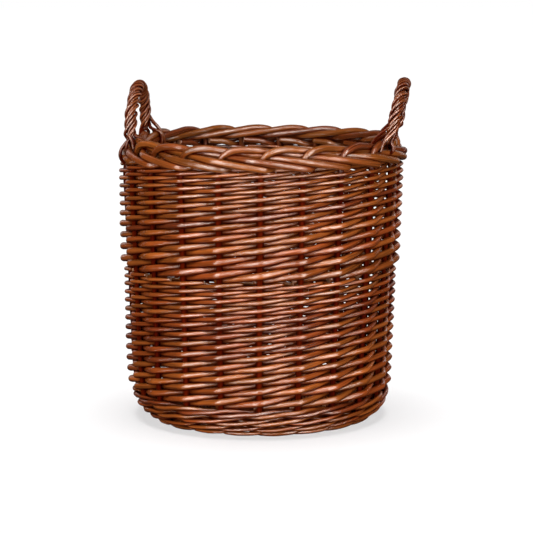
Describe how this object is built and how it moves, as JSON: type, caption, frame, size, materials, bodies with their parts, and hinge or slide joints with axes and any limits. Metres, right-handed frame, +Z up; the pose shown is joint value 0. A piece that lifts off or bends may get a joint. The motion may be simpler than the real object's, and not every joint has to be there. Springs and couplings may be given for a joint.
{
  "type": "wicker log basket",
  "caption": "Round woven willow basket with a rolled border and rope-wound bow handles, for holding firewood logs",
  "frame": {"origin": "centre of the basket's foot, on the floor", "axes": "+Z up; the front, seen with one handle at each side, faces -Y; +X to the viewer's right"},
  "size_m": [0.4162, 0.4133, 0.4868],
  "materials": {
    "stake_willow": "satin",
    "weaver_willow": "satin",
    "handle_willow": "satin"
  },
  "bodies": {
    "root": {"stake_01": "stake_willow", "stake_02": "stake_willow", "stake_03": "stake_willow", "stake_04": "stake_willow", "stake_05": "stake_willow", "stake_06": "stake_willow", "stake_07": "stake_willow", "stake_08": "stake_willow", "stake_09": "stake_willow", "stake_10": "stake_willow", "stake_11": "stake_willow", "stake_12": "stake_willow", "stake_13": "stake_willow", "stake_14": "stake_willow", "stake_15": "stake_willow", "stake_16": "stake_willow", "stake_17": "stake_willow", "stake_18": "stake_willow", "stake_19": "stake_willow", "stake_20": "stake_willow", "stake_21": "stake_willow", "base_stick_pierced_1": "stake_willow", "base_stick_pierced_2": "stake_willow", "base_stick_pierced_3": "stake_willow", "base_stick_pierced_4": "stake_willow", "base_stick_through_1": "stake_willow", "base_stick_through_2": "stake_willow", "base_stick_through_3": "stake_willow", "handle_bow_left": "stake_willow", "handle_bow_right": "stake_willow", "base_weave": "weaver_willow", "upsett_wale": "weaver_willow", "rand_lower": "weaver_willow", "rand_upper": "weaver_willow", "handle_strand_left_1": "handle_willow", "handle_strand_left_2": "handle_willow", "handle_strand_left_3": "handle_willow", "handle_strand_left_4": "handle_willow", "handle_strand_left_5": "handle_willow", "handle_strand_left_6": "handle_willow", "handle_strand_left_7": "handle_willow", "handle_strand_left_8": "handle_willow", "handle_strand_right_1": "handle_willow", "handle_strand_right_2": "handle_willow", "handle_strand_right_3": "handle_willow", "handle_strand_right_4": "handle_willow", "handle_strand_right_5": "handle_willow", "handle_strand_right_6": "handle_willow", "handle_strand_right_7": "handle_willow", "handle_strand_right_8": "handle_willow"}
  },
  "joints": []
}
